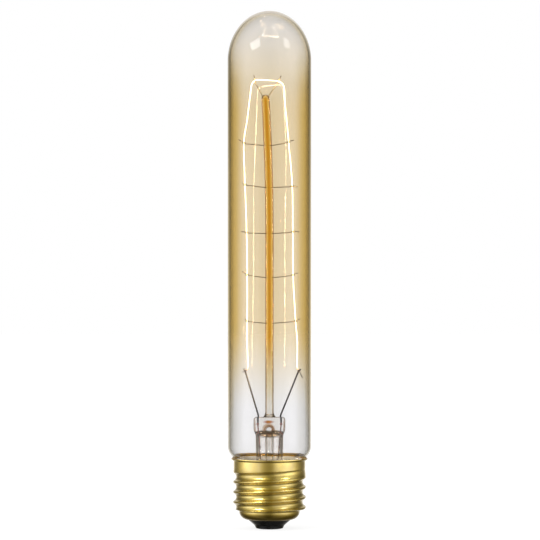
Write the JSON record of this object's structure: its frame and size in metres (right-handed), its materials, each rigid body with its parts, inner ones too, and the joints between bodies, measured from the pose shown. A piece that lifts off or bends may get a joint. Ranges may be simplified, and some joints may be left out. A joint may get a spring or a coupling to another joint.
{
  "type": "light bulb",
  "caption": "Long tubular filament light bulb: amber glass tube with a domed end, glass stem with wire supports and leads, a hairpin filament, and a brass screw cap.",
  "frame": {"origin": "centre of the bottom contact face", "axes": "+Z along the tube from the contact to the dome; the leads, the rod and the filament stand in the XZ plane, with +X to the right in the picture's view; +Y points away from the picture's viewer"},
  "size_m": [0.03, 0.03, 0.186],
  "materials": {
    "envelope_glass": "clear blown glass with a thin amber coat that fades out near the cap and the dome",
    "stem_glass": "clear fire-polished glass",
    "rod_glass": "clear glass rod that carries the filament's glow",
    "support_wire": "dull drawn wire, darkened by heat",
    "lead_wire": "satin nickel wire, darkened near the clamp",
    "seal_wire": "copper-clad seal wire, reddened in the glass",
    "copper_wire": "bare copper wire",
    "filament": "coiled filament, lit, warm white",
    "cap_brass": "satin rolled brass with polished crests and darker grooves",
    "cap_cement": "dull basing cement",
    "black_glass": "opaque black moulded glass, glossy",
    "contact_metal": "tinned brass, dull with light scuffs",
    "solder": "soft solder, satin"
  },
  "bodies": {
    "root": {"glass_envelope": "envelope_glass", "stem_flare": "stem_glass", "stem_press": "stem_glass", "exhaust_tube": "stem_glass", "stem_rod": "rod_glass", "top_hook_left": "support_wire", "top_hook_right": "support_wire", "side_support_left_1": "support_wire", "side_support_left_2": "support_wire", "side_support_left_3": "support_wire", "side_support_left_4": "support_wire", "side_support_left_5": "support_wire", "side_support_right_1": "support_wire", "side_support_right_2": "support_wire", "side_support_right_3": "support_wire", "side_support_right_4": "support_wire", "side_support_right_5": "support_wire", "upper_lead_left": "lead_wire", "upper_lead_right": "lead_wire", "seal_wire_left": "seal_wire", "seal_wire_right": "seal_wire", "contact_lead": "copper_wire", "shell_lead": "copper_wire", "filament": "filament", "cap_shell": "cap_brass", "cap_cement": "cap_cement", "cap_insulator": "black_glass", "centre_contact": "contact_metal", "contact_solder": "solder", "side_solder": "solder"}
  },
  "joints": []
}
